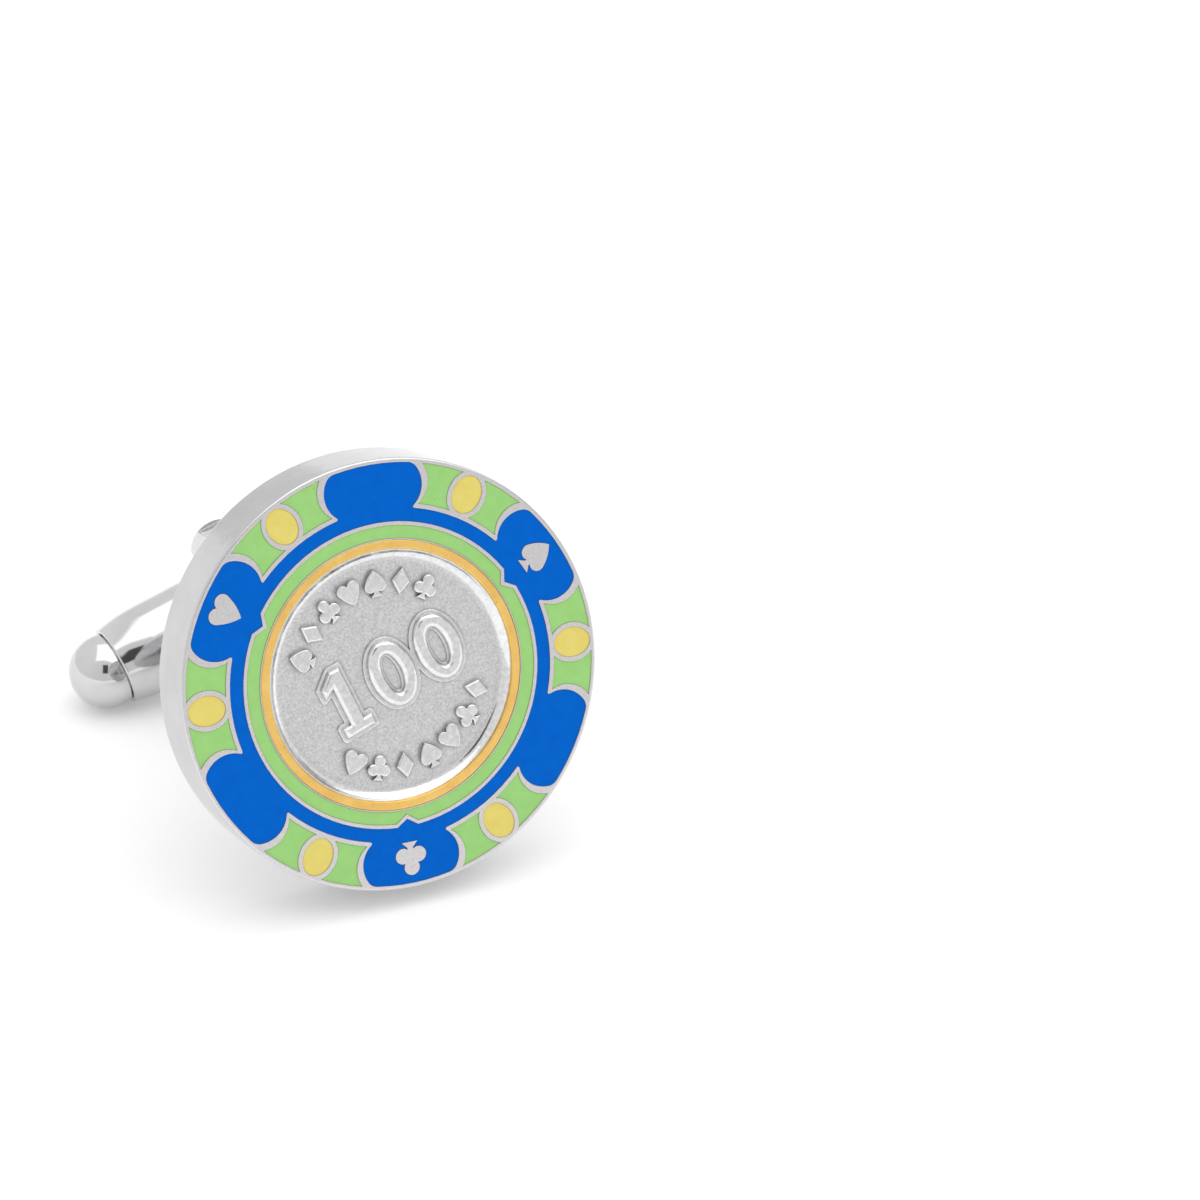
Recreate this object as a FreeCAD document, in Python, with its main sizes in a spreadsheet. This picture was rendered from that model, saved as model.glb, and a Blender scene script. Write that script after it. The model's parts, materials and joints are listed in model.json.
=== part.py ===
import FreeCAD, Part
import math
import os
import Sketcher

V = FreeCAD.Vector
doc = FreeCAD.newDocument("cufflink")

# ---------------------------------------------------------------- dimensions
# Local frame of all pieces: z along the face normal with z = 0 on the back of
# the head, x along the toggle, y along the pivot pin.
sheet = doc.addObject("Spreadsheet::Sheet", "dims")
DIMS = [
    ("head_r", "9.5", "radius of the head"),
    ("head_thk", "3.2", "thickness of the head"),
    ("back_round", "0.25", "rounding of the back edge"),
    ("front_round", "0.1", "rounding of the front edge"),
    ("cell_depth", "0.5", "depth of the enamel cells"),
    ("enamel_sink", "0.03", "enamel surface below the metal lines"),
    ("seat_floor", "2.0", "height of the seat of ring and medallion"),
    ("plate_r", "9.05", "radius of the back plate"),
    ("plate_thk", "0.5", "thickness of the back plate"),
    ("gold_in", "5.55", "inner radius of the gold ring"),
    ("gold_out", "5.95", "outer radius of the gold ring"),
    ("gold_round", "0.06", "rounding of the gold ring"),
    ("field_z", "2.8", "height of the sunk centre field"),
    ("field_r", "4.95", "radius of the flat of the centre field"),
    ("field_lip", "3.1", "height of the medallion edge"),
    ("relief_h", "0.3", "height of the figures over the field"),
    ("pip_h", "0.2", "height of the small relief pips over the field"),
    ("plinth_h", "0.07", "height of the border around the figures"),
    ("fig_h", "3.1", "height of the figures"),
    ("fig_pitch", "2.34", "spacing of the figures"),
    ("gring_in", "6.0", "inner radius of the green ring"),
    ("gring_out", "6.58", "outer radius of the green ring"),
    ("bring_in", "6.74", "inner radius of the blue ring"),
    ("bring_out", "7.34", "outer radius of the blue ring"),
    ("cell_in", "7.53", "inner radius of the outer cells"),
    ("cell_out", "9.3", "outer radius of the outer cells"),
    ("oval_rad", "8.42", "radius of the oval centres"),
    ("oval_a", "0.85", "half length of an oval"),
    ("oval_b", "0.67", "half width of an oval"),
    ("oval_line", "0.21", "width of the metal line around an oval"),
    ("lobe_ang", "9.4", "angle of the first lobe"),
    ("lobe_round", "0.55", "rounding of the outer corners of a lobe"),
    ("horn_round", "0.07", "rounding of the metal tips beside a lobe"),
    ("point_tip", "6.4", "radius of the blue point tips"),
    ("point_half", "0.6", "half width of a blue point at its base"),
    ("point_line", "0.19", "width of the metal line around a point"),
    ("lobe_pip", "1.5", "height of a lobe pip"),
    ("post_w", "2.75", "width of the post legs"),
    ("slot_w", "4.4", "gap between the legs"),
    ("leg_edge", "0.7", "thickness of a leg at its edges"),
    ("leg_crown", "0.95", "rise of the crown of a leg"),
    ("pivot_z", "16.2", "distance of the pivot from the back of the head"),
    ("leg_ext", "2.0", "length of the legs beyond the pivot"),
    ("foot_h", "2.6", "height of the foot under the slot"),
    ("web_half", "1.0", "half width of the web between the legs at the foot"),
    ("web_low", "0.6", "distance of the web recess from the head"),
    ("foot_round", "1.3", "length of the rounded shoulder of the foot"),
    ("foot_drop", "0.55", "fall of the shoulder at the head"),
    ("braze_w", "0.55", "reach of the solder ring around the foot"),
    ("braze_h", "0.8", "height of the solder ring"),
    ("pin_sq", "1.4", "side of the square pin"),
    ("pin_len", "7.32", "length of the pin"),
    ("pin_cham", "0.1", "chamfer of the pin ends"),
    ("bar_r", "2.1", "radius of the barrel"),
    ("bar_half", "7.05", "half length of the barrel"),
    ("bar_end_r", "1.88", "radius of the barrel at its ends"),
    ("bar_taper", "1.8", "length of the tapered ends of the barrel"),
    ("bar_round", "0.1", "rounding of the barrel ends"),
    ("face_turn", "2.8", "turn of the face against the toggle in degrees"),
    ("bore_r", "1.5", "radius of the barrel bore"),
    ("cross_r", "1.04", "radius of the cross hole for the pin"),
    ("ball_r", "1.75", "radius of the ball ends"),
    ("ball_x", "7.5", "distance of the ball centres from the pivot"),
    ("cap_gap", "0.05", "groove between barrel and ball"),
    ("plug_x", "4.9", "inner end of the cap plugs"),
    ("leaf_t", "0.18", "thickness of a leaf spring"),
    ("leaf_w", "1.7", "width of a leaf spring"),
    ("leaf_half", "4.7", "half length of a leaf spring"),
    ("leaf_mid", "0.71", "distance of the leaf middle from the pin axis"),
    ("leaf_end", "1.02", "distance of the leaf ends from the pin axis"),
]
for row, (alias, value, note) in enumerate(DIMS, 1):
    sheet.set("A%d" % row, note)
    sheet.set("B%d" % row, value)
    sheet.setAlias("B%d" % row, alias)
doc.recompute()


# A dimension with its value and the expression that it comes from.
class Dim:
    def __init__(self, value, expr):
        self.v = float(value)
        self.e = expr

    def __add__(self, o):
        o = dim(o)
        return Dim(self.v + o.v, "(%s + %s)" % (self.e, o.e))

    def __sub__(self, o):
        o = dim(o)
        return Dim(self.v - o.v, "(%s - %s)" % (self.e, o.e))

    def __mul__(self, o):
        o = dim(o)
        return Dim(self.v * o.v, "(%s * %s)" % (self.e, o.e))

    def __truediv__(self, o):
        o = dim(o)
        return Dim(self.v / o.v, "(%s / %s)" % (self.e, o.e))

    def __neg__(self):
        return Dim(-self.v, "(0 - %s)" % self.e)


def dim(o):
    return o if isinstance(o, Dim) else Dim(o, "%.6f" % o)


def d(name):
    return Dim(sheet.get(name), "dims." + name)


def val(name):
    return float(sheet.get(name))


# ------------------------------------------------------------------- helpers
def new_body(label):
    body = doc.addObject("PartDesign::Body", label)
    body.Label = label
    return body


def new_sketch(body, name, role):
    sk = body.newObject("Sketcher::SketchObject", name)
    plane = [f for f in body.Origin.OriginFeatures if f.Role == role][0]
    sk.AttachmentSupport = [(plane, "")]
    sk.MapMode = "FlatFace"
    return sk


def bind_point(sk, geo, pos, x, y):
    for axis, value in (("X", dim(x)), ("Y", dim(y))):
        if abs(value.v) < 1e-9:
            sk.addConstraint(Sketcher.Constraint("PointOnObject", geo, pos, -2 if axis == "X" else -1))
        else:
            k = sk.addConstraint(Sketcher.Constraint("Distance" + axis, -1, 1, geo, pos, value.v))
            sk.setExpression("Constraints[%d]" % k, value.e)


def bind_radius(sk, geo, r):
    r = dim(r)
    k = sk.addConstraint(Sketcher.Constraint("Radius", geo, r.v))
    sk.setExpression("Constraints[%d]" % k, r.e)


# Closed outline. A vertex is (x, y) at the end of a line,
# (x, y, radius, mid point) at the end of an arc, or
# (x, y, None, mid point, height of centre) at the end of an arc whose
# centre lies at a given height.
def outline(sk, pts):
    n = len(pts)
    ends = []
    where = [V(dim(p[0]).v, dim(p[1]).v, 0) for p in pts]
    for i in range(n):
        j = (i + 1) % n
        if len(pts[j]) == 2:
            ends.append((sk.addGeometry(Part.LineSegment(where[i], where[j]), False), 1, 2))
        else:
            a, m, b = where[i], pts[j][3], where[j]
            if ((m - a).cross(b - m)).z > 0:
                ends.append((sk.addGeometry(Part.Arc(a, m, b), False), 1, 2))
            else:
                ends.append((sk.addGeometry(Part.Arc(b, m, a), False), 2, 1))
    for i in range(n):
        j = (i + 1) % n
        sk.addConstraint(Sketcher.Constraint("Coincident", ends[i][0], ends[i][2], ends[j][0], ends[j][1]))
    for i in range(n):
        bind_point(sk, ends[i][0], ends[i][1], pts[i][0], pts[i][1])
        j = (i + 1) % n
        if len(pts[j]) == 4:
            bind_radius(sk, ends[i][0], pts[j][2])
        elif len(pts[j]) == 5:
            level = dim(pts[j][4])
            if abs(level.v) < 1e-9:
                sk.addConstraint(Sketcher.Constraint("PointOnObject", ends[i][0], 3, -1))
            else:
                k = sk.addConstraint(Sketcher.Constraint("DistanceY", -1, 1, ends[i][0], 3, level.v))
                sk.setExpression("Constraints[%d]" % k, level.e)


def ring(sk, r):
    g = sk.addGeometry(Part.Circle(V(0, 0, 0), V(0, 0, 1), dim(r).v), False)
    sk.addConstraint(Sketcher.Constraint("Coincident", g, 3, -1, 1))
    bind_radius(sk, g, r)


def revolve(body, sk, axis):
    f = body.newObject("PartDesign::Revolution", sk.Name + "_turn")
    f.Profile = sk
    f.ReferenceAxis = (sk, [axis])
    f.Angle = 360.0
    return f


def pad(body, sk, length, symmetric=False, reverse=False):
    f = body.newObject("PartDesign::Pad", sk.Name + "_pad")
    f.Profile = sk
    f.Length = dim(length).v
    f.setExpression("Length", dim(length).e)
    if symmetric:
        f.SideType = "Symmetric"
    f.Reversed = reverse
    return f


def pocket_through(body, sk):
    f = body.newObject("PartDesign::Pocket", sk.Name + "_cut")
    f.Profile = sk
    f.Type = "ThroughAll"
    f.SideType = "Symmetric"
    return f


def pol(r, deg, z=0.0):
    a = math.radians(deg)
    return V(r * math.cos(a), r * math.sin(a), z)


def prism(wire, z0, z1):
    face = Part.Face(wire)
    face.translate(V(0, 0, z0))
    return face.extrude(V(0, 0, z1 - z0))


def tube(r0, r1, z0, z1):
    return Part.makeCylinder(r1, z1 - z0, V(0, 0, z0)).cut(Part.makeCylinder(r0, z1 - z0, V(0, 0, z0)))


def poly_wire(pts):
    return Part.makePolygon(list(pts) + [pts[0]])


def oval_wire(a, b, centre=V(0, 0, 0), turn=0.0):
    long_a, long_b = max(a, b), min(a, b)
    e = Part.Ellipse(V(0, 0, 0), long_a, long_b)
    w = Part.Wire([e.toShape()])
    if b > a:
        w.rotate(V(0, 0, 0), V(0, 0, 1), 90)
    w.rotate(V(0, 0, 0), V(0, 0, 1), turn)
    w.translate(centre)
    return w


def join(shapes):
    out = shapes[0]
    if len(shapes) > 1:
        out = out.multiFuse(shapes[1:])
    return out.removeSplitter()


# -------------------------------------------------------------- head: blank
T = d("head_thk")
R = d("head_r")
blank = new_body("head_blank")
sk = new_sketch(blank, "head_profile", "XZ_Plane")
q = 1 - math.sqrt(0.5)
br, fr = val("back_round"), val("front_round")
outline(sk, [
    (0, d("plate_thk")),
    (d("plate_r"), d("plate_thk")),
    (d("plate_r"), 0),
    (R - d("back_round"), 0),
    (R, d("back_round"), d("back_round"), V(R.v - q * br, q * br, 0)),
    (R, T - d("front_round")),
    (R - d("front_round"), T, d("front_round"), V(R.v - q * fr, T.v - q * fr, 0)),
    (d("gold_out"), T),
    (d("gold_out"), d("seat_floor")),
    (0, d("seat_floor")),
])
revolve(blank, sk, "V_Axis")

# ------------------------------------------------------ enamel fields (plan)
z_floor = val("head_thk") - val("cell_depth")
z_top = val("head_thk") - val("enamel_sink")
z_over = val("head_thk") + 0.4
LOBES = [val("lobe_ang") + 60.0 * k for k in range(6)]
GAPS = [a + 30.0 for a in LOBES]


# Side of a lobe as an arc through three points (radius, angle off the axis).
def side(points, axis, sign):
    return [pol(r, axis + sign * a) for r, a in points]


LOBE_SIDE = [(val("bring_out") - 0.12, 11.6), (8.32, 15.4), (val("cell_out"), 11.7)]
CELL_SIDE = [(val("cell_in"), 15.0), (8.32, 17.2), (val("cell_out"), 14.6)]


def lobe_wire(axis):
    a = side(LOBE_SIDE, axis, 1)
    b = side(LOBE_SIDE, axis, -1)
    return Part.Wire([
        Part.Arc(a[0], a[1], a[2]).toShape(),
        Part.Arc(a[2], pol(val("cell_out"), axis), b[2]).toShape(),
        Part.Arc(b[2], b[1], b[0]).toShape(),
        Part.makeLine(b[0], a[0]),
    ])


def cell_wire(axis, sign):
    s = side(CELL_SIDE, axis, sign)
    mid = axis + sign * 30.0
    return Part.Wire([
        Part.Arc(s[0], s[1], s[2]).toShape(),
        Part.Arc(s[2], pol(val("cell_out"), axis + sign * 22.0), pol(val("cell_out"), mid)).toShape(),
        Part.makeLine(pol(val("cell_out"), mid), pol(val("cell_in"), mid)),
        Part.Arc(pol(val("cell_in"), mid), pol(val("cell_in"), axis + sign * 22.0), s[0]).toShape(),
    ])


def upright_edges(shape, radius, near=0.02):
    out = []
    for e in shape.Edges:
        b = e.BoundBox
        if b.ZLength > 0.1 and max(b.XLength, b.YLength) < 1e-4 and abs(math.hypot(b.XMin, b.YMin) - radius) < near:
            out.append(e)
    return out


# Lobe with rounded outer corners.
def lobe(axis, z0, z1):
    s = prism(lobe_wire(axis), z0, z1)
    return s.makeFillet(val("lobe_round"), upright_edges(s, val("cell_out")))


def point_wire(axis, tip, half, base):
    w = poly_wire([V(base, half, 0), V(tip, 0, 0), V(base, -half, 0)])
    w.rotate(V(0, 0, 0), V(0, 0, 1), axis)
    return w


# Card-suit pips, one unit high, centred on the origin, upright along +y.
def pip(kind, size, z0, z1):
    h = z1 - z0
    s = size

    def disc(x, y, r):
        return Part.makeCylinder(r * s, h, V(x * s, y * s, z0))

    def flat(pts):
        return prism(poly_wire([V(x * s, y * s, 0) for x, y in pts]), z0, z1)

    def curved(p0, p1, p2, p3, p4):
        left = Part.Arc(V(p0[0] * s, p0[1] * s, 0), V(p1[0] * s, p1[1] * s, 0), V(p2[0] * s, p2[1] * s, 0)).toShape()
        right = Part.Arc(V(p2[0] * s, p2[1] * s, 0), V(p3[0] * s, p3[1] * s, 0), V(p4[0] * s, p4[1] * s, 0)).toShape()
        base = Part.makeLine(V(p4[0] * s, p4[1] * s, 0), V(p0[0] * s, p0[1] * s, 0))
        return prism(Part.Wire([left, right, base]), z0, z1)

    stem = flat([(-0.05, 0.02), (0.05, 0.02), (0.09, -0.34), (0.24, -0.5), (-0.24, -0.5), (-0.09, -0.34)])
    if kind == "diamond":
        return flat([(0, 0.52), (0.37, 0), (0, -0.52), (-0.37, 0)])
    if kind == "heart":
        return join([disc(-0.22, 0.2, 0.24), disc(0.22, 0.2, 0.24),
                     curved((-0.43, 0.09), (-0.26, -0.22), (0, -0.5), (0.26, -0.22), (0.43, 0.09))])
    if kind == "spade":
        return join([disc(-0.21, -0.1, 0.225), disc(0.21, -0.1, 0.225),
                     curved((-0.405, 0.02), (-0.25, 0.28), (0, 0.52), (0.25, 0.28), (0.405, 0.02)), stem])
    return join([disc(0, 0.26, 0.235), disc(-0.235, -0.1, 0.235), disc(0.235, -0.1, 0.235),
                 disc(0, 0.06, 0.13), stem])


def placed(shape, radius, axis, upright=0.0):
    s = shape.copy()
    s.rotate(V(0, 0, 0), V(0, 0, 1), axis - 90.0 + upright)
    s.translate(pol(radius, axis))
    return s


LOBE_PIPS = [(LOBES[0], "spade"), (LOBES[2], "heart"), (LOBES[4], "club")]


# Blue: ring, six lobes and three points, open around the lobe pips.
def blue_region(z0, z1):
    parts = [tube(val("bring_in"), val("bring_out"), z0, z1)]
    parts += [lobe(a, z0, z1) for a in LOBES]
    parts += [prism(point_wire(a, val("point_tip"), val("point_half"), val("bring_in") + 0.06), z0, z1)
              for a, _ in LOBE_PIPS]
    out = join(parts)
    out = out.makeFillet(val("horn_round"), upright_edges(out, val("bring_out")))
    for a, kind in LOBE_PIPS:
        out = out.cut(placed(pip(kind, val("lobe_pip"), z0 - 0.1, z1 + 0.1), 8.2, a))
    return max(out.removeSplitter().Solids, key=lambda x: x.Volume)


def green_cells(z0, z1):
    out = []
    for a in LOBES:
        for sign in (1, -1):
            cell = prism(cell_wire(a, sign), z0, z1)
            mid = a + sign * 30.0
            hole = prism(oval_wire(val("oval_a") + val("oval_line"), val("oval_b") + val("oval_line"),
                                   pol(val("oval_rad"), mid), mid), z0 - 0.1, z1 + 0.1)
            piece = cell.cut(hole)
            out.append(max(piece.Solids, key=lambda x: x.Volume))
    return out


def yellow_ovals(z0, z1):
    return [prism(oval_wire(val("oval_a"), val("oval_b"), pol(val("oval_rad"), a), a), z0, z1) for a in GAPS]


def green_ring(z0, z1):
    out = tube(val("gring_in"), val("gring_out"), z0, z1)
    w = val("point_line")
    for a, _ in LOBE_PIPS:
        out = out.cut(prism(point_wire(a, val("point_tip") - 1.15 * w, val("point_half") + 0.8 * w,
                                       val("bring_in")), z0 - 0.1, z1 + 0.1))
    return out


def shape_node(label, shape):
    o = doc.addObject("Part::Feature", label)
    o.Label = label
    o.Shape = shape
    return o


blue = shape_node("blue_enamel", blue_region(z_floor, z_top))
cells = shape_node("green_cell_enamel", Part.Compound(green_cells(z_floor, z_top)))
ovals = shape_node("yellow_oval_enamel", Part.Compound(yellow_ovals(z_floor, z_top)))
gring = shape_node("green_ring_enamel", green_ring(z_floor, z_top))

# Head: the blank with the cells sunk into it; the pips are left standing.
cutters = shape_node("cell_cutters", Part.Compound(
    [blue_region(z_floor, z_over)] + green_cells(z_floor, z_over)
    + yellow_ovals(z_floor, z_over) + [green_ring(z_floor, z_over)]))
head = doc.addObject("Part::Cut", "head_body")
head.Label = "head_body"
head.Base = blank
head.Tool = cutters

# --------------------------------------------------------------- back plate
plate = new_body("back_plate")
sk = new_sketch(plate, "plate_outline", "XY_Plane")
ring(sk, d("plate_r"))
pad(plate, sk, d("plate_thk"))

# ---------------------------------------------------------------- gold ring
gold = new_body("gold_ring")
sk = new_sketch(gold, "gold_profile", "XZ_Plane")
gr = val("gold_round")
outline(sk, [
    (d("gold_in"), d("seat_floor")),
    (d("gold_out"), d("seat_floor")),
    (d("gold_out"), T - d("gold_round")),
    (d("gold_out") - d("gold_round"), T, d("gold_round"),
     V(val("gold_out") - q * gr, T.v - q * gr, 0)),
    (d("gold_in") + d("gold_round"), T),
    (d("gold_in"), T - d("gold_round"), d("gold_round"),
     V(val("gold_in") + q * gr, T.v - q * gr, 0)),
])
revolve(gold, sk, "V_Axis")

# ---------------------------------------------------------------- medallion
coin = new_body("medallion_disc")
sk = new_sketch(coin, "medallion_profile", "XZ_Plane")
f0, z0 = val("field_r"), val("field_z")
rise, run = d("field_lip") - d("field_z"), d("gold_in") - 0.05 - d("field_r")
bend = (run * run + rise * rise) / (rise * 2)
ang = math.asin(run.v / bend.v) / 2
outline(sk, [
    (0, d("seat_floor")),
    (d("gold_in"), d("seat_floor")),
    (d("gold_in"), d("field_lip")),
    (d("gold_in") - 0.05, d("field_lip")),
    (d("field_r"), d("field_z"), None,
     V(f0 + bend.v * math.sin(ang), z0 + bend.v * (1 - math.cos(ang)), 0), d("field_z") + bend),
    (0, d("field_z")),
])
revolve(coin, sk, "V_Axis")


# Raised figures: a one and two noughts with a low border around them.
def figure_one(grow, z0, z1, cx):
    h = val("fig_h") / 2
    pts = [(-0.34, h - 0.8), (-0.34, -h + 0.54), (-0.74, -h + 0.54), (-0.74, -h), (0.74, -h), (0.74, -h + 0.54),
           (0.34, -h + 0.54), (0.34, h), (-0.18, h), (-0.84, h - 0.56), (-0.84, h - 1.06)]
    wire = poly_wire([V(x, y, 0) for x, y in pts])
    if grow:
        wire = wire.makeOffset2D(grow)
    s = prism(wire, z0, z1)
    s.translate(V(cx, 0, 0))
    return s


def figure_nought(grow, z0, z1, cx):
    h = val("fig_h") / 2
    s = prism(oval_wire(1.04 + grow, h + grow), z0, z1).cut(
        prism(oval_wire(0.4 - 0.6 * grow, h - 0.62 - 0.6 * grow), z0 - 0.1, z1 + 0.1))
    s.translate(V(cx, 0, 0))
    return s


def soften(shape, z, radii):
    edges = [e for e in shape.Edges if all(abs(v.Z - z) < 1e-6 for v in e.Vertexes) and e.BoundBox.ZLength < 1e-6]
    for r in radii:
        try:
            out = shape.makeFillet(r, edges)
            if out.isValid() and out.Volume > 0.5 * shape.Volume:
                return out
        except Exception:
            pass
    return shape


zf = val("field_z")
step = val("fig_pitch")
relief = []
for maker, cx in ((figure_one, -step + 0.12), (figure_nought, 0.12), (figure_nought, step + 0.12)):
    relief.append(maker(0.17, zf - 0.05, zf + val("plinth_h"), cx))
    relief.append(soften(maker(0.0, zf - 0.05, zf + val("relief_h"), cx), zf + val("relief_h"), (0.19, 0.14, 0.08)))
top_row = ["spade", "diamond", "club", "heart", "spade", "diamond", "club"]
low_row = ["heart", "club", "diamond", "spade", "heart", "club", "diamond"]
for names, mid, gap, sign in ((top_row, 90.0, 16.8, -1), (low_row, -90.0, 16.8, 1)):
    for i, kind in enumerate(names):
        a = mid + sign * (i - (len(names) - 1) / 2.0) * gap
        raw = pip(kind, 1.14, zf - 0.05, zf + val("pip_h"))
        relief.append(placed(soften(raw, zf + val("pip_h"), (0.08, 0.05, 0.03)), 4.1, a, 0.0 if mid > 0 else 180.0))
reliefs = shape_node("medallion_relief", join(relief))
medal = doc.addObject("Part::MultiFuse", "centre_medallion")
medal.Label = "centre_medallion"
medal.Shapes = [coin, reliefs]
medal.Refine = True

# ---------------------------------------------------------------- post fork
fork = new_body("post_fork")
sk = new_sketch(fork, "leg_section", "XY_Plane")
half_w = d("post_w") / 2
edge_y = d("slot_w") / 2 + d("leg_edge")
crown_y = edge_y.v + val("leg_crown")
crown_r = (half_w * half_w + d("leg_crown") * d("leg_crown")) / (d("leg_crown") * 2)
outline(sk, [
    (half_w, -edge_y, crown_r, V(0, -crown_y, 0)),
    (half_w, edge_y),
    (-half_w, edge_y, crown_r, V(0, crown_y, 0)),
    (-half_w, -edge_y),
])
leg_end = d("pivot_z") + d("leg_ext")
pad(fork, sk, leg_end, reverse=True)

# Slot between the legs, open at the far end, with rounded inner corners.
sk = new_sketch(fork, "slot", "YZ_Plane")
sl = d("slot_w") / 2
sr = 0.6
outline(sk, [
    (-sl, -(leg_end + 1)),
    (sl, -(leg_end + 1)),
    (sl, -(d("foot_h") + sr)),
    (sl - sr, -d("foot_h"), sr, V(sl.v - q * sr, -(val("foot_h") + q * sr), 0)),
    (-sl + sr, -d("foot_h")),
    (-sl, -(d("foot_h") + sr), sr, V(-sl.v + q * sr, -(val("foot_h") + q * sr), 0)),
])
pocket_through(fork, sk)

# Recess on both sides of the foot: the web is narrower than the legs.
sk = new_sketch(fork, "web_sides", "XZ_Plane")
for s in (1, -1):
    xs = [d("web_half"), half_w + 0.5] if s > 0 else [-(half_w + 0.5), -d("web_half")]
    outline(sk, [
        (xs[0], -(d("foot_h") + 1)),
        (xs[1], -(d("foot_h") + 1)),
        (xs[1], -d("web_low")),
        (xs[0], -d("web_low")),
    ])
f = fork.newObject("PartDesign::Pocket", "web_sides_cut")
f.Profile = sk
f.SideType = "Symmetric"
f.Length = val("slot_w")
f.setExpression("Length", "dims.slot_w")

# Domed end of each leg: the arc of the crown, turned about the middle of the
# half-round end.
top = edge_y + d("leg_crown")
arc_z = half_w - leg_end
sk = new_sketch(fork, "domes", "YZ_Plane")
g = sk.addGeometry(Part.LineSegment(V(0, arc_z.v, 0), V(1, arc_z.v, 0)), True)
bind_point(sk, g, 1, dim(0), arc_z)
bind_point(sk, g, 2, dim(1), arc_z)
da = math.asin(half_w.v / crown_r.v) / 2
dm = (top.v - crown_r.v * (1 - math.cos(da)), arc_z.v - crown_r.v * math.sin(da))
for s in (1, -1):
    def sy(v):
        return v if s > 0 else -v
    outline(sk, [
        (sy(top), arc_z),
        (sy(edge_y), -leg_end, crown_r, V(s * dm[0], dm[1], 0)),
        (sy(edge_y), -(leg_end + 0.5)),
        (sy(top + 0.5), -(leg_end + 0.5)),
        (sy(top + 0.5), arc_z),
    ])
f = fork.newObject("PartDesign::Groove", "domes_cut")
f.Profile = sk
f.ReferenceAxis = (sk, ["Axis0"])
f.Angle = 180.0
f.Midplane = True

# Shoulder of each leg at the foot, where the strap is bent.
sk = new_sketch(fork, "shoulders", "YZ_Plane")
fr, fd = d("foot_round"), d("foot_drop")
foot_r = (fr * fr + fd * fd) / (fd * 2)
fa = math.asin(fr.v / foot_r.v) / 2
fm = (top.v - foot_r.v * (1 - math.cos(fa)), -fr.v + foot_r.v * math.sin(fa))
for s in (1, -1):
    def sy(v):
        return v if s > 0 else -v
    outline(sk, [
        (sy(top), -fr),
        (sy(top - fd), 0, foot_r, V(s * fm[0], fm[1], 0)),
        (sy(top - fd), 0.5),
        (sy(top + 0.5), 0.5),
        (sy(top + 0.5), -fr),
    ])
pocket_through(fork, sk)

# Half-round ends of the legs.
sk = new_sketch(fork, "leg_ends", "XZ_Plane")
arc_z = half_w - leg_end
wide = half_w + 0.5
outline(sk, [
    (-wide, arc_z),
    (-half_w, arc_z),
    (half_w, arc_z, None, V(0, -leg_end.v, 0), arc_z),
    (wide, arc_z),
    (wide, -(leg_end + 0.5)),
    (-wide, -(leg_end + 0.5)),
])
pocket_through(fork, sk)

# Square windows for the pin.
sk = new_sketch(fork, "windows", "XZ_Plane")
hp = d("pin_sq") / 2
pz = d("pivot_z")
outline(sk, [(-hp, -(pz + hp)), (hp, -(pz + hp)), (hp, -(pz - hp)), (-hp, -(pz - hp))])
window_cut = pocket_through(fork, sk)
doc.recompute()


def edge_names(shape, test):
    return ["Edge%d" % (i + 1) for i, e in enumerate(shape.Edges) if test(e)]


# -------------------------------------------------------------- solder ring
section = Part.Wire([
    Part.makeLine(V(half_w.v, -edge_y.v, 0), V(half_w.v, edge_y.v, 0)),
    Part.Arc(V(half_w.v, edge_y.v, 0), V(0, crown_y, 0), V(-half_w.v, edge_y.v, 0)).toShape(),
    Part.makeLine(V(-half_w.v, edge_y.v, 0), V(-half_w.v, -edge_y.v, 0)),
    Part.Arc(V(-half_w.v, -edge_y.v, 0), V(0, -crown_y, 0), V(half_w.v, -edge_y.v, 0)).toShape(),
])
layers = []
for k in range(9):
    a = math.radians(84 * k / 8)
    grow, down = 1 - math.sin(a), 1 - math.cos(a)
    w = section.makeOffset2D(grow * val("braze_w"))
    w.translate(V(0, 0, -down * val("braze_h")))
    layers.append(w)
solder = Part.makeLoft(layers, True, True).cut(fork.Shape)
braze = shape_node("braze_fillet", Part.Compound([max(solder.Solids, key=lambda s: s.Volume)]).Solids[0])

# ---------------------------------------------------------------- pivot pin
pin = new_body("pivot_pin")
sk = new_sketch(pin, "pin_section", "XZ_Plane")
outline(sk, [(-hp, -(pz + hp)), (hp, -(pz + hp)), (hp, -(pz - hp)), (-hp, -(pz - hp))])
shaft = pad(pin, sk, d("pin_len"), symmetric=True)
doc.recompute()
nose = pin.newObject("PartDesign::Chamfer", "pin_ends")
nose.Base = (shaft, edge_names(shaft.Shape, lambda e: e.BoundBox.YLength < 1e-6))
nose.Size = val("pin_cham")
nose.setExpression("Size", "dims.pin_cham")

# ------------------------------------------------ toggle (origin at the pivot)
barrel = new_body("toggle_barrel")
sk = new_sketch(barrel, "barrel_profile", "XY_Plane")
bh, rd, ro, re, tl = d("bar_half"), d("bar_round"), d("bar_r"), d("bar_end_r"), d("bar_taper")
run, fall = tl - rd, ro - re
taper_r = (run * run + fall * fall) / (fall * 2)
ta = math.asin(run.v / taper_r.v) / 2
tm = (bh.v - tl.v + taper_r.v * math.sin(ta), ro.v - taper_r.v * (1 - math.cos(ta)))
outline(sk, [
    (-bh, d("bore_r")),
    (bh, d("bore_r")),
    (bh, re - rd),
    (bh - rd, re, rd, V(bh.v - q * rd.v, re.v - q * rd.v, 0)),
    (bh - tl, ro, taper_r, V(tm[0], tm[1], 0)),
    (-bh + tl, ro),
    (-bh + rd, re, taper_r, V(-tm[0], tm[1], 0)),
    (-bh, re - rd, rd, V(-bh.v + q * rd.v, re.v - q * rd.v, 0)),
])
revolve(barrel, sk, "H_Axis")
sk = new_sketch(barrel, "cross_hole", "XZ_Plane")
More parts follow.
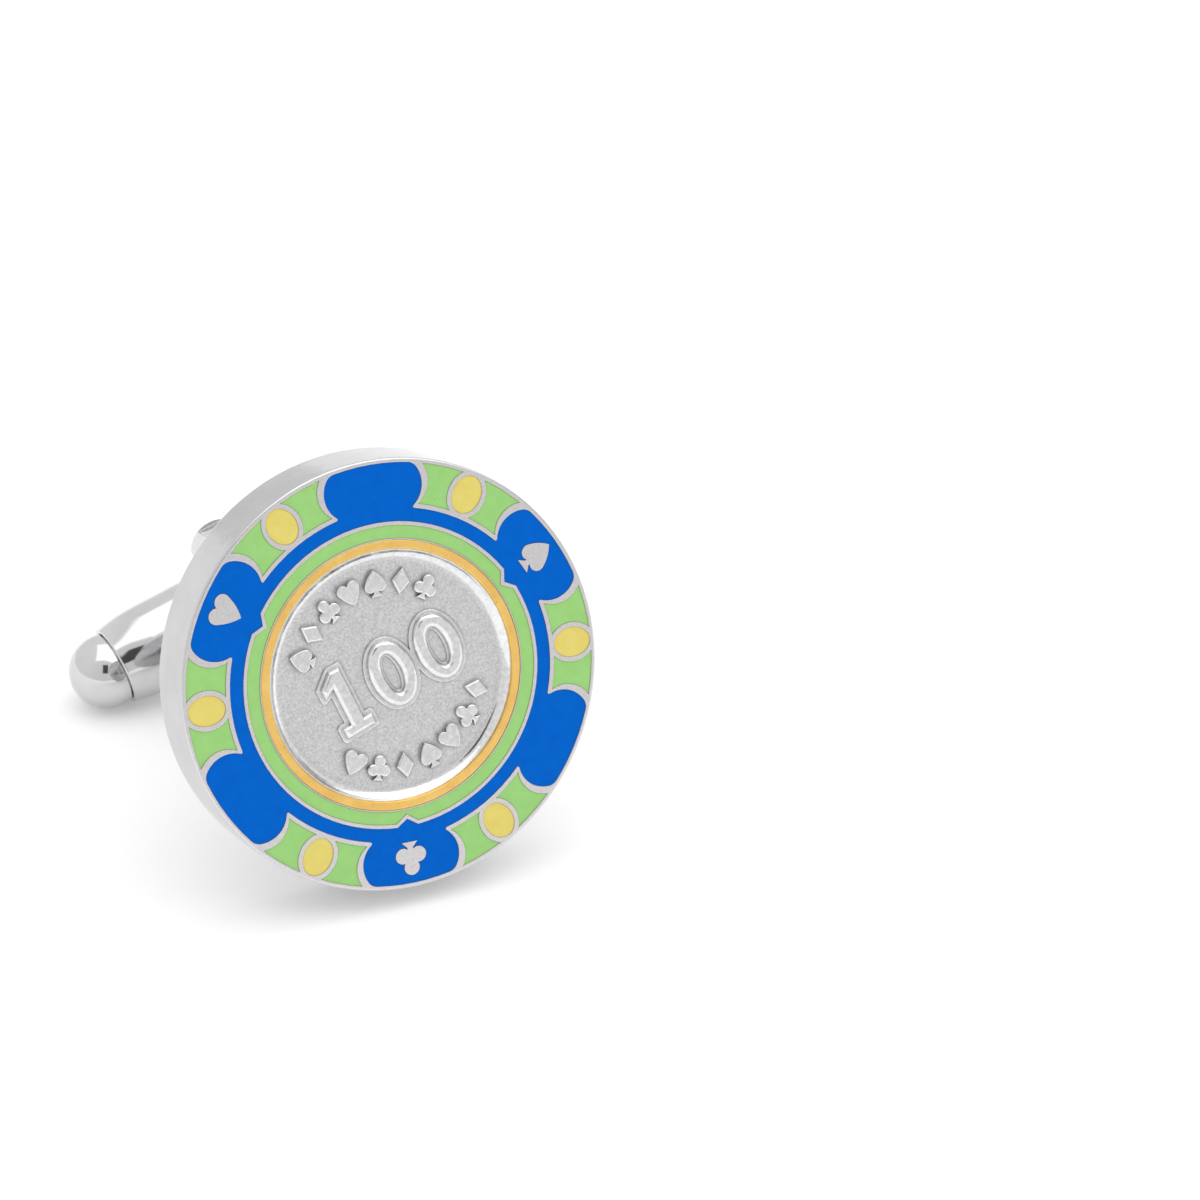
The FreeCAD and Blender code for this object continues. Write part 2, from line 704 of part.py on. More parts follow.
ring(sk, d("cross_r"))
pocket_through(barrel, sk)


def end_cap(label, s):
    body = new_body(label)
    k = new_sketch(body, label + "_profile", "XY_Plane")
    x0 = d("bar_half") + d("cap_gap")
    off = d("ball_x") - x0
    rim = Dim(math.sqrt(val("ball_r") ** 2 - off.v ** 2), "sqrt(dims.ball_r^2 - %s^2)" % off.e)
    tip = d("ball_x") + d("ball_r")
    a = math.radians(50)
    mid = V(s * (val("ball_x") + val("ball_r") * math.cos(a)), val("ball_r") * math.sin(a), 0)

    def sx(v):
        return v if s > 0 else -v

    outline(k, [
        (sx(d("plug_x")), 0),
        (sx(d("plug_x")), d("bore_r")),
        (sx(x0), d("bore_r")),
        (sx(x0), rim),
        (sx(tip), 0, None, mid, 0),
    ])
    revolve(body, k, "H_Axis")
    return body


cap_l = end_cap("end_cap_left", -1)
cap_r = end_cap("end_cap_right", 1)


def leaf(label, s):
    body = new_body(label)
    k = new_sketch(body, label + "_profile", "XZ_Plane")
    sag = d("leaf_end") - d("leaf_mid")
    lh, lt = d("leaf_half"), d("leaf_t")
    bow = (lh * lh + sag * sag) / (sag * 2)

    def sy(v):
        return v if s > 0 else -v

    outline(k, [
        (-lh, sy(d("leaf_end"))),
        (lh, sy(d("leaf_end")), None, V(0, s * val("leaf_mid"), 0), sy(d("leaf_mid") + bow)),
        (lh, sy(d("leaf_end") + lt)),
        (-lh, sy(d("leaf_end") + lt), None, V(0, s * (val("leaf_mid") + lt.v), 0),
         sy(d("leaf_mid") + lt + bow)),
    ])
    pad(body, k, d("leaf_w"), symmetric=True)
    return body


leaf_f = leaf("detent_leaf_front", 1)
leaf_r = leaf("detent_leaf_rear", -1)
doc.recompute()

# ----------------------------------------------------------- resting posture
# The cufflink lies on three points: the back edge of the head, the lower leg
# end and the left ball of the toggle stand on the plane z = 0.  In plan the
# post runs along +y, and the origin lies under the middle of the box.
HEAD = [head, plate, medal, gold, blue, cells, ovals, gring]
STILL = HEAD + [fork, braze, pin]
SWING = [barrel, cap_l, cap_r, leaf_f, leaf_r]
lower_tip = fork.Shape.common(Part.makeBox(4, 4, 4, V(-2, -4, -(leg_end.v + 1))))


# Upward direction in the local frame, for a lean of the face and a roll of the
# post towards the left ball, both in degrees.
def upward(lean, roll):
    a, b = math.radians(lean), math.radians(roll)
    return V(math.sin(b), math.cos(b) * math.cos(a), math.cos(b) * math.sin(a))


def turned(u):
    along = V(0, 0, -1) + u * u.z
    along.normalize()
    side = along.cross(u)
    return FreeCAD.Placement(FreeCAD.Matrix(
        side.x, side.y, side.z, 0, along.x, along.y, along.z, 0, u.x, u.y, u.z, 0, 0, 0, 0, 1))


def head_low(u):
    return br * u.z - (R.v - br) * math.hypot(u.x, u.y) - br


def ball_low(u):
    return -val("ball_x") * u.x - val("pivot_z") * u.z - val("ball_r")


def leg_low(u):
    s = lower_tip.copy()
    s.Placement = turned(u).multiply(s.Placement)
    return s.optimalBoundingBox(False).ZMin


def lean_at(roll):
    lo, hi = 5.0, 40.0
    for _ in range(26):
        mid = (lo + hi) / 2
        u = upward(mid, roll)
        if leg_low(u) > head_low(u):
            lo = mid
        else:
            hi = mid
    return (lo + hi) / 2


lo, hi = 0.0, 25.0
for _ in range(22):
    roll = (lo + hi) / 2
    lean = lean_at(roll)
    u = upward(lean, roll)
    if ball_low(u) > head_low(u):
        lo = roll
    else:
        hi = roll
turn = turned(u)
at_pivot = FreeCAD.Placement(V(0, 0, -val("pivot_z")), FreeCAD.Rotation())
box = FreeCAD.BoundBox()
for o in STILL:
    s = o.Shape.copy()
    s.Placement = turn.multiply(s.Placement)
    box.add(s.optimalBoundingBox(False))
for o in SWING:
    s = o.Shape.copy()
    s.Placement = turn.multiply(at_pivot).multiply(s.Placement)
    box.add(s.optimalBoundingBox(False))
rest = FreeCAD.Placement(
    V(-(box.XMin + box.XMax) / 2, -(box.YMin + box.YMax) / 2, -box.ZMin), FreeCAD.Rotation()).multiply(turn)
on_face = FreeCAD.Placement(V(0, 0, 0), FreeCAD.Rotation(V(0, 0, 1), val("face_turn")))
for o in STILL:
    o.Placement = rest.multiply(on_face) if o in HEAD else rest
for o in SWING:
    o.Placement = rest.multiply(at_pivot)
doc.recompute()

# -------------------------------------------------------------------- export
for o in doc.Objects:
    if "Invalid" in o.State or "Error" in o.State:
        raise SystemExit("feature in error: %s %s" % (o.Label, o.State))
os.makedirs("parts", exist_ok=True)
for o in STILL + SWING:
    if o.Shape.isNull() or not o.Shape.isValid():
        raise SystemExit("bad shape: " + o.Label)
    b = o.Shape.optimalBoundingBox(False)
    print("%-20s solids %2d volume %8.3f  x %.2f..%.2f y %.2f..%.2f z %.2f..%.2f" % (
        o.Label, len(o.Shape.Solids), o.Shape.Volume, b.XMin, b.XMax, b.YMin, b.YMax, b.ZMin, b.ZMax))
    o.Shape.exportStep("parts/%s.step" % o.Label)
p = rest.multVec(V(0, 0, -val("pivot_z")))
n = rest.Rotation.multVec(V(0, 0, 1))
a = rest.Rotation.multVec(V(0, 1, 0))
f = rest.multVec(V(0, 0, val("head_thk")))
x = rest.Rotation.multVec(V(1, 0, 0))
o = rest.multVec(V(0, 0, 0))
print("lean %.5f" % lean)
print("roll %.5f" % roll)
print("box %.5f %.5f %.5f" % (box.XLength, box.YLength, box.ZLength))
print("head back %.5f %.5f %.5f" % (o.x, o.y, o.z))
print("toggle axis %.7f %.7f %.7f" % (x.x, x.y, x.z))
print("pivot %.5f %.5f %.5f" % (p.x, p.y, p.z))
print("pivot axis %.7f %.7f %.7f" % (a.x, a.y, a.z))
print("face normal %.7f %.7f %.7f" % (n.x, n.y, n.z))
print("face centre %.5f %.5f %.5f" % (f.x, f.y, f.z))
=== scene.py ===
import json
import math

import bmesh
import bpy
from mathutils import Matrix, Vector
from mathutils.geometry import delaunay_2d_cdt

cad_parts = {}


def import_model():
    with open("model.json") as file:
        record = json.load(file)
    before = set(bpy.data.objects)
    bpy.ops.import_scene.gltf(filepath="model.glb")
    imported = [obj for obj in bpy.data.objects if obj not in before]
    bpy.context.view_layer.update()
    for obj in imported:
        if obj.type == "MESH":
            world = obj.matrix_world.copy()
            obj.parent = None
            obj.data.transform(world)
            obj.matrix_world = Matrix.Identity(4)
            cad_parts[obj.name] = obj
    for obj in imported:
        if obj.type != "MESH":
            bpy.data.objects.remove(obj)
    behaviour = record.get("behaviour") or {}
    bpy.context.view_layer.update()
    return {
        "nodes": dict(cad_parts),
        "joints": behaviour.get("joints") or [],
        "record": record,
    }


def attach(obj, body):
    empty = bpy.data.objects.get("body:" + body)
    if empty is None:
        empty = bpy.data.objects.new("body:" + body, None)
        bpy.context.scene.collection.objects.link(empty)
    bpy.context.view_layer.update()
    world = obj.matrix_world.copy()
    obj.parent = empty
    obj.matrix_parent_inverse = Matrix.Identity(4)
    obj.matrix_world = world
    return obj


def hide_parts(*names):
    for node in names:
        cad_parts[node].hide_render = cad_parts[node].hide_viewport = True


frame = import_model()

parts = frame["nodes"]

# ---------------------------------------------------------------- local frame
# Fixed to the face: z along its normal with z = 0 on the back of the head, x
# and y near the toggle and the pivot pin, which are turned by FACE_TURN degrees
# against the face. Lengths in this frame are in millimetres.
HEAD_T, FACE_TURN = 3.2, 2.8
joint = frame["joints"][0]
face = next(m for m in frame["record"]["mounts"] if m["name"] == "face_rest")
AZ = Vector(face["axis"]).normalized()
AY = Vector(joint["axis"])
AY = Matrix.Rotation(math.radians(FACE_TURN), 3, AZ) @ (AY - AY.dot(AZ) * AZ).normalized()
AX = AY.cross(AZ)
PIVOT = Vector(joint["pos_m"])
ORIGIN = PIVOT + ((Vector(face["pos_m"]) - PIVOT).dot(AZ) - HEAD_T * 0.001) * AZ
R = Matrix((AX, AY, AZ)).transposed()


def world(x, y, z):
    return ORIGIN + R @ (Vector((x, y, z)) * 0.001)


# ------------------------------------------------------------------ materials
class Net:
    """A material's node tree with a Principled shader, in local millimetres."""

    def __init__(self, name):
        self.mat = bpy.data.materials.new(name)
        self.mat.use_nodes = True
        self.tree = self.mat.node_tree
        self.tree.nodes.clear()
        out = self.node("ShaderNodeOutputMaterial")
        self.bsdf = self.node("ShaderNodeBsdfPrincipled")
        self.link(self.bsdf.outputs["BSDF"], out.inputs["Surface"])
        coord = self.node("ShaderNodeTexCoord")
        place = self.node("ShaderNodeMapping", vector_type="TEXTURE")
        place.inputs["Location"].default_value = ORIGIN
        place.inputs["Rotation"].default_value = R.to_euler()
        place.inputs["Scale"].default_value = (0.001, 0.001, 0.001)
        self.link(coord.outputs["Object"], place.inputs["Vector"])
        self.mm = place.outputs["Vector"]
        self._xyz = None

    def node(self, kind, **props):
        n = self.tree.nodes.new(kind)
        for k, v in props.items():
            setattr(n, k, v)
        return n

    def link(self, a, b):
        self.tree.links.new(a, b)

    def feed(self, sock, value):
        if isinstance(value, bpy.types.NodeSocket):
            self.link(value, sock)
        else:
            sock.default_value = value

    def axis(self, which):
        if self._xyz is None:
            self._xyz = self.node("ShaderNodeSeparateXYZ")
            self.link(self.mm, self._xyz.inputs[0])
        return self._xyz.outputs[which]

    def noise(self, scale, detail=2.0, rough=0.5, vector=None, distortion=0.0):
        n = self.node("ShaderNodeTexNoise")
        self.link(vector or self.mm, n.inputs["Vector"])
        n.inputs["Scale"].default_value = scale
        n.inputs["Detail"].default_value = detail
        n.inputs["Roughness"].default_value = rough
        n.inputs["Distortion"].default_value = distortion
        return n.outputs["Fac"]

    def stretched(self, sx, sy, sz):
        n = self.node("ShaderNodeMapping", vector_type="POINT")
        n.inputs["Scale"].default_value = (sx, sy, sz)
        self.link(self.mm, n.inputs["Vector"])
        return n.outputs["Vector"]

    def math(self, op, a, b=None, clamp=False):
        n = self.node("ShaderNodeMath", operation=op, use_clamp=clamp)
        self.feed(n.inputs[0], a)
        if b is not None:
            self.feed(n.inputs[1], b)
        return n.outputs[0]

    def span(self, value, a, b, lo=0.0, hi=1.0, smooth=False):
        n = self.node("ShaderNodeMapRange", interpolation_type="SMOOTHSTEP" if smooth else "LINEAR")
        self.feed(n.inputs["Value"], value)
        n.inputs["From Min"].default_value = a
        n.inputs["From Max"].default_value = b
        n.inputs["To Min"].default_value = lo
        n.inputs["To Max"].default_value = hi
        return n.outputs["Result"]

    def mix(self, fac, a, b):
        n = self.node("ShaderNodeMix", data_type="RGBA")
        self.feed(n.inputs["Factor"], fac)
        for sock, v in ((n.inputs[6], a), (n.inputs[7], b)):
            self.feed(sock, v if isinstance(v, bpy.types.NodeSocket) else (*v, 1.0))
        return n.outputs[2]

    def blendf(self, fac, a, b):
        n = self.node("ShaderNodeMix", data_type="FLOAT")
        self.feed(n.inputs["Factor"], fac)
        self.feed(n.inputs[2], a)
        self.feed(n.inputs[3], b)
        return n.outputs[0]

    def bevel(self, mm, samples=6):
        n = self.node("ShaderNodeBevel", samples=samples)
        n.inputs["Radius"].default_value = mm * 0.001
        return n.outputs["Normal"]

    def bump(self, height, mm, normal=None, strength=1.0):
        n = self.node("ShaderNodeBump")
        n.inputs["Strength"].default_value = strength
        n.inputs["Distance"].default_value = mm * 0.001
        self.link(height, n.inputs["Height"])
        if normal is not None:
            self.link(normal, n.inputs["Normal"])
        return n.outputs["Normal"]

    def edge(self, bevel_normal, lo=0.02, hi=0.2):
        """0 on flats, 1 on hard edges, from the rounded normal."""
        geo = self.node("ShaderNodeNewGeometry")
        dot = self.node("ShaderNodeVectorMath", operation="DOT_PRODUCT")
        self.link(geo.outputs["Normal"], dot.inputs[0])
        self.link(bevel_normal, dot.inputs[1])
        return self.span(dot.outputs["Value"], 1 - lo, 1 - hi, 0.0, 1.0, True)

    def crevice(self, mm, samples=8):
        """1 in the open, towards 0 in narrow corners."""
        n = self.node("ShaderNodeAmbientOcclusion", samples=samples, only_local=True)
        n.inputs["Distance"].default_value = mm * 0.001
        return n.outputs["AO"]

    def put(self, **values):
        for k, v in values.items():
            name = {"color": "Base Color", "rough": "Roughness", "normal": "Normal", "metal": "Metallic",
                    "spec": "Specular IOR Level", "coat": "Coat Weight", "coat_rough": "Coat Roughness"}[k]
            if k == "color" and not isinstance(v, bpy.types.NodeSocket):
                v = (*v, 1.0)
            self.feed(self.bsdf.inputs[name], v)
        return self.mat


def plated(name, light=(0.675, 0.675, 0.68), dark=(0.60, 0.60, 0.605), lo=0.04, hi=0.11, edge_mm=0.05, brass=False):
    """Bright plating: soft clouds in the tone, fine wipe marks and a faint orange peel."""
    n = Net(name)
    cloud = n.noise(0.55, 3.0, 0.55)
    wipe = n.noise(5.0, 4.0, 0.6, n.stretched(1.0, 1.0, 0.25))
    fine = n.noise(22.0, 2.0, 0.5)
    color = n.mix(n.span(cloud, 0.3, 0.7), dark, light)
    rough = n.math("ADD", n.span(wipe, 0.3, 0.75, lo, hi), n.span(fine, 0.45, 0.8, 0.0, 0.03))
    round_n = n.bevel(edge_mm)
    if brass:
        # Thin plating on the inner edges of the legs lets the brass through in flecks.
        inner = n.span(n.math("ABSOLUTE", n.axis("Y")), 2.42, 2.24, 0.0, 1.0, True)
        fleck = n.span(n.noise(1.5, 5.0, 0.7, n.stretched(1.0, 1.0, 0.45)), 0.54, 0.66, 0.0, 1.0, True)
        margin = n.span(n.math("ABSOLUTE", n.axis("X")), 1.0, 1.28, 0.0, 1.0, True)
        worn = n.math("MULTIPLY", n.math("MULTIPLY", inner, fleck), margin)
        # The ends of the legs are buffed round, the long edges stay crisp.
        n.feed(round_n.node.inputs["Radius"], n.span(n.axis("Z"), -17.3, -17.0, 0.00045, 0.00006))
        color = n.mix(worn, color, (0.46, 0.30, 0.11))
        rough = n.math("ADD", rough, n.math("MULTIPLY", worn, 0.18))
    height = n.math("ADD", n.noise(2.2, 3.0, 0.5), n.math("MULTIPLY", fine, 0.05))
    return n.put(metal=1.0, color=color, rough=rough, normal=n.bump(height, 0.0018, round_n))


def textured_back(name):
    n = Net(name)
    cloud = n.noise(0.4, 3.0, 0.55)
    grain = n.noise(14.0, 3.0, 0.6)
    color = n.mix(n.span(cloud, 0.3, 0.7), (0.60, 0.60, 0.605), (0.69, 0.69, 0.695))
    rough = n.span(grain, 0.3, 0.75, 0.09, 0.2)
    # Pit floors are struck a little duller than the ridges.
    deep = n.span(n.axis("Z"), 0.03, 0.07)
    rough = n.math("ADD", rough, n.math("MULTIPLY", deep, 0.08))
    return n.put(metal=1.0, color=color, rough=rough, normal=n.bump(grain, 0.003, n.bevel(0.025)))


def struck_centre(name):
    n = Net(name)
    z = n.axis("Z")
    raised = n.span(z, 2.815, 2.86, 0.0, 1.0, True)
    grain = n.noise(12.0, 2.0, 0.6)
    coarse = n.noise(4.5, 2.0, 0.5)
    field = n.mix(n.span(grain, 0.32, 0.68), (0.50, 0.50, 0.505), (0.72, 0.72, 0.725))
    polish = n.mix(n.span(coarse, 0.3, 0.7), (0.72, 0.72, 0.725), (0.86, 0.86, 0.865))
    color = n.mix(raised, field, polish)
    # Painted shade: the corners of the relief are darkened to a near-black grey by an occlusion mask.
    color = n.mix(n.span(n.crevice(0.3), 0.45, 0.92, 0.7, 0.0), color, (0.18, 0.18, 0.185))
    rough = n.blendf(raised, n.span(grain, 0.3, 0.7, 0.32, 0.44), n.span(coarse, 0.3, 0.7, 0.06, 0.14))
    height = n.blendf(raised, grain, n.math("MULTIPLY", coarse, 0.25))
    return n.put(metal=1.0, color=color, rough=rough, normal=n.bump(height, 0.014, n.bevel(0.09)))


def golden(name):
    n = Net(name)
    cloud = n.noise(1.1, 3.0, 0.6)
    grain = n.noise(16.0, 2.0, 0.6)
    color = n.mix(n.span(cloud, 0.3, 0.7), (0.83, 0.515, 0.14), (0.92, 0.61, 0.185))
    speck = n.span(n.noise(6.0, 3.0, 0.6), 0.66, 0.74, 0.0, 0.8, True)
    color = n.mix(speck, color, (0.50, 0.28, 0.06))
    rough = n.span(grain, 0.3, 0.75, 0.26, 0.42)
    return n.put(metal=1.0, color=color, rough=rough, normal=n.bump(grain, 0.005, n.bevel(0.04)))


def enamel(name, base, deep, speck_and_edge_shade):
    """Flat polished enamel: a touch of mottling, tiny dust specks, and painted dark shade along its edges at the metal
    lines.
    """
    n = Net(name)
    mottle = n.noise(1.6, 4.0, 0.6)
    fine = n.noise(24.0, 2.0, 0.5)
    color = n.mix(n.span(mottle, 0.32, 0.7), deep, base)
    pit = n.span(n.noise(5.5, 1.0, 0.4), 0.80, 0.83, 0.0, 0.7, True)
    color = n.mix(pit, color, speck_and_edge_shade)
    round_n = n.bevel(0.045)
    # Painted shade: the enamel is darkened along its edges where it meets the metal lines.
    color = n.mix(n.edge(round_n, 0.03, 0.22), color, speck_and_edge_shade)
    rough = n.math("ADD", n.span(fine, 0.3, 0.75, 0.2, 0.32), n.math("MULTIPLY", pit, 0.2))
    return n.put(color=color, rough=rough, spec=0.04, normal=n.bump(n.math("ADD", mottle, n.math("MULTIPLY", fine, 0.06)), 0.006, round_n))


def head_metal(name):
    """The struck head: bright plating, with a painted brown shade along the edges where the metal lines meet the
    enamel.
    """
    n = Net(name)
    cloud = n.noise(0.55, 3.0, 0.55)
    wipe = n.noise(4.0, 4.0, 0.6, n.stretched(1.0, 1.0, 0.3))
    fine = n.noise(22.0, 2.0, 0.5)
    wall = n.mix(n.span(cloud, 0.3, 0.7), (0.475, 0.475, 0.48), (0.535, 0.535, 0.54))
    lines = n.mix(n.span(fine, 0.35, 0.7), (0.64, 0.62, 0.635), (0.76, 0.735, 0.75))
    round_n = n.bevel(0.04)
    on_face = n.span(n.axis("Z"), 3.1, 3.18, 0.0, 1.0)
    color = n.mix(on_face, wall, lines)
    # Painted shade: a brownish dark edge is painted where the metal lines meet the enamel.
    painted_edge_shade = n.math("MULTIPLY", n.edge(round_n, 0.015, 0.16), on_face)
    color = n.mix(n.math("MULTIPLY", painted_edge_shade, 0.8), color, (0.42, 0.29, 0.21))
    rough = n.math("ADD", n.span(wipe, 0.3, 0.75, 0.05, 0.13), n.math("MULTIPLY", on_face, 0.1))
    height = n.math("ADD", n.noise(2.2, 3.0, 0.5), n.math("MULTIPLY", fine, 0.05))
    return n.put(metal=1.0, color=color, rough=rough, normal=n.bump(height, 0.0018, round_n))


def soldered(name):
    n = Net(name)
    lump = n.noise(1.8, 3.0, 0.55)
    grain = n.noise(9.0, 3.0, 0.6)
    color = n.mix(n.span(lump, 0.3, 0.7), (0.52, 0.52, 0.52), (0.68, 0.68, 0.68))
    rough = n.span(grain, 0.3, 0.75, 0.12, 0.26)
    return n.put(metal=1.0, color=color, rough=rough, normal=n.bump(n.math("ADD", lump, n.math("MULTIPLY", grain, 0.2)), 0.03))


def spring(name):
    n = Net(name)
    roll = n.noise(3.0, 4.0, 0.6, n.stretched(0.15, 1.0, 1.0))
    color = n.mix(n.span(roll, 0.3, 0.7), (0.40, 0.40, 0.41), (0.56, 0.56, 0.57))
    return n.put(metal=1.0, color=color, rough=n.span(roll, 0.3, 0.7, 0.2, 0.36), normal=n.bump(roll, 0.004))


polished = plated("polished_plating")
post_plating = plated("post_plating", brass=True)
back_metal = textured_back("struck_grid")
looks = {
    "head_body": head_metal("head_plating"),
    "centre_medallion": struck_centre("blasted_centre"),
    "gold_ring": golden("gold_line"),
    "blue_enamel": enamel("enamel_blue", (0.0, 0.129, 0.600), (0.0, 0.115, 0.548), (0.02, 0.03, 0.12)),
    "green_cell_enamel": enamel("enamel_green", (0.346, 0.653, 0.216), (0.317, 0.614, 0.192), (0.16, 0.24, 0.07)),
    "green_ring_enamel": enamel("enamel_green_ring", (0.346, 0.653, 0.216), (0.317, 0.614, 0.192), (0.16, 0.24, 0.07)),
    "yellow_oval_enamel": enamel("enamel_yellow", (0.791, 0.668, 0.186), (0.744, 0.616, 0.152), (0.36, 0.28, 0.09)),
    "post_fork": post_plating,
    "braze_fillet": soldered("plated_solder"),
    "pivot_pin": polished,
    "toggle_barrel": polished,
    "end_cap_left": polished,
    "end_cap_right": polished,
    "detent_leaf_front": spring("spring_strip"),
    "detent_leaf_rear": spring("spring_strip_rear"),
    "back_plate": back_metal,
}
for name, mat in looks.items():
    mesh = parts[name].data
    mesh.materials.clear()
    mesh.materials.append(mat)

# ------------------------------------------------------- struck grid on the back
# Square pits at 45 degrees to the toggle, a bare framed panel under the post.
PLATE_R, PLATE_T = 9.05, 0.5
PITCH, OPEN, DEPTH, SLOPE = 0.485, 0.18, 0.08, 0.07
PANEL = (0.0, -5.9, 4.55, 0.675)
FRAME_W, FRAME_D = 0.07, 0.05
RIM_R = 9.0
SOLDER = (1.93, 3.45, 0.95)


def keep_side(poly, p, nrm):
    """The part of a convex polygon on the side of p that nrm points to."""
    out = []
    for a, b in zip(poly, poly[1:] + poly[:1]):
        da, db = (a - p).dot(nrm), (b - p).dot(nrm)
        if da >= 0:
            out.append(a)
        if (da > 0 > db) or (da < 0 < db):
            out.append(a + (b - a) * (da / (da - db)))
    return out


def area(poly):
    return 0.5 * sum(a.x * b.y - b.x * a.y for a, b in zip(poly, poly[1:] + poly[:1]))


def tidy(poly):
    return [p for p, q in zip(poly, poly[1:] + poly[:1]) if (p - q).length > 0.02]


def inset(poly, by):
    """A convex polygon moved in by the same width on every side, with the same number of corners, or None."""
    corners = []
    count = len(poly)
    for i in range(count):
        a, b, c = poly[i - 1], poly[i], poly[(i + 1) % count]
        d0, d1 = (b - a).normalized(), (c - b).normalized()
        n0, n1 = Vector((-d0.y, d0.x)), Vector((-d1.y, d1.x))
        k = 1 + n0.dot(n1)
        if k < 0.2:
            return None
        corners.append(b + (n0 + n1) * (by / k))
    for i in range(count):
        if (corners[(i + 1) % count] - corners[i]).dot(poly[(i + 1) % count] - poly[i]) <= 0:
            return None
    return corners if area(corners) > 0 else None


def under_solder(c):
    """Pits that the solder around the post has filled."""
    half, straight, crown = SOLDER
    if abs(c.x) > half + 0.27:
        return False
    return abs(c.y) < straight + crown * math.sqrt(max(0.0, 1 - (c.x / half) ** 2)) + 0.27


def pits():
    u, v = Vector((1, 1)).normalized(), Vector((-1, 1)).normalized()
    cx, cy, hx, hy = PANEL
    reach = int(PLATE_R / PITCH) + 2
    for i in range(-reach, reach + 1):
        for j in range(-reach, reach + 1):
            c = u * (i * PITCH) + v * (j * PITCH)
            if c.length > PLATE_R or under_solder(c):
                continue
            poly = [c - u * OPEN - v * OPEN, c + u * OPEN - v * OPEN, c + u * OPEN + v * OPEN, c - u * OPEN + v * OPEN]
            if c.length > RIM_R - 0.5:
                out = c.normalized()
                poly = keep_side(poly, out * (RIM_R - 0.12), -out)
            gx, gy = abs(c.x - cx) - hx - 0.16, abs(c.y - cy) - hy - 0.16
            if gx < 0.5 and gy < 0.5:
                if gy >= gx:
                    s = 1 if c.y > cy else -1
                    poly = keep_side(poly, Vector((0, cy + s * (hy + 0.16))), Vector((0, s)))
                else:
                    s = 1 if c.x > cx else -1
                    poly = keep_side(poly, Vector((cx + s * (hx + 0.16), 0)), Vector((s, 0)))
            poly = tidy(poly) if len(poly) > 2 else []
            if len(poly) < 3 or area(poly) < 0.03:
                continue
            floor_poly = inset(poly, SLOPE)
            if floor_poly:
                yield poly, floor_poly


def round_rect(cx, cy, hx, hy, r, steps=6):
    pts = []
    for sx, sy, a0 in ((1, 1, 0), (-1, 1, 90), (-1, -1, 180), (1, -1, 270)):
        for k in range(steps + 1):
            a = math.radians(a0 + 90 * k / steps)
            pts.append(Vector((cx + sx * (hx - r) + r * math.cos(a), cy + sy * (hy - r) + r * math.sin(a))))
    return pts


def back_grid():
    rim_n = 180
    rim = [Vector((RIM_R * math.cos(2 * math.pi * k / rim_n), RIM_R * math.sin(2 * math.pi * k / rim_n))) for k in range(rim_n)]
    cells = list(pits())
    cx, cy, hx, hy = PANEL
    outer = round_rect(cx, cy, hx + FRAME_W, hy + FRAME_W, 0.22)
    inner = round_rect(cx, cy, hx - FRAME_W, hy - FRAME_W, 0.12)
    middle = round_rect(cx, cy, hx, hy, 0.17)
    loops = [rim, outer, inner] + [p for p, _ in cells]
    points, faces = [], []
    for loop in loops:
        faces.append(list(range(len(points), len(points) + len(loop))))
        points.extend(loop)
    got, _, tris, from_vert, _, from_face = delaunay_2d_cdt(points, [], faces, 1, 1e-6)
    place = {}
    for k, ids in enumerate(from_vert):
        for i in ids:
            place[i] = k
    bm = bmesh.new()

    def vert(p, z):
        return bm.verts.new(world(p.x, p.y, z))

    top = [vert(p, 0.0) for p in got]
    for tri, ids in zip(tris, from_face):
        ids = set(ids)
        in_frame = 1 in ids and 2 not in ids
        in_pit = any(i > 2 for i in ids)
        if not in_frame and not in_pit:
            bm.faces.new([top[i] for i in reversed(tri)])

    def walls(upper, lower):
        count = len(upper)
        for k in range(count):
            m = (k + 1) % count
            bm.faces.new((upper[k], upper[m], lower[m], lower[k]))

    def ring(index):
        return [top[place[i]] for i in faces[index]]

    for index, (_, floor_poly) in enumerate(cells, 3):
        low = [vert(p, DEPTH) for p in floor_poly]
        walls(ring(index), low)
        bm.faces.new(list(reversed(low)))
    low = [vert(p, FRAME_D) for p in middle]
    walls(ring(1), low)
    walls(low, ring(2))
    edge = ring(0)
    for r, z in ((PLATE_R, 0.05), (PLATE_R, PLATE_T)):
        nxt = [vert(p * (r / RIM_R), z) for p in rim]
        walls(nxt, edge)
        edge = nxt
    bm.faces.new(edge)
    bmesh.ops.recalc_face_normals(bm, faces=bm.faces[:])
    mesh = bpy.data.meshes.new("back_grid")
    bm.to_mesh(mesh)
    bm.free()
    piece = bpy.data.objects.new("back_grid", mesh)
    bpy.context.scene.collection.objects.link(piece)
    mesh.materials.append(back_metal)
    return piece


grid = back_grid()
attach(grid, "head_and_post")
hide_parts("back_plate")

# ---------------------------------------------------------------------- stage
def floor():
    mesh = bpy.data.meshes.new("floor")
    bm = bmesh.new()
    rings = [0.0, 0.05, 0.15, 0.5, 1.5, 4.0]
    last = None
    for r in rings[1:]:
        loop = [bm.verts.new((r * math.cos(2 * math.pi * k / 48), r * math.sin(2 * math.pi * k / 48), 0.0)) for k in range(48)]
        if last is None:
            bm.faces.new(loop)
        else:
            for k in range(48):
                bm.faces.new((last[k], loop[k], loop[(k + 1) % 48], last[(k + 1) % 48]))
        last = loop
    bm.to_mesh(mesh)
    bm.free()
    obj = bpy.data.objects.new("floor", mesh)
    bpy.context.scene.collection.objects.link(obj)
    n = Net("paper")
    fibre = n.noise(3.0, 3.0, 0.6)
    mesh.materials.append(n.put(color=n.mix(n.span(fibre, 0.3, 0.7), (0.845, 0.845, 0.85), (0.86, 0.86, 0.86)),
                                rough=n.span(fibre, 0.3, 0.7, 0.75, 0.85), spec=0.2))
    glow = n.bsdf
    glow.inputs["Emission Color"].default_value = (1.0, 1.0, 1.0, 1.0)
    glow.inputs["Emission Strength"].default_value = 0.2
    return obj


floor()


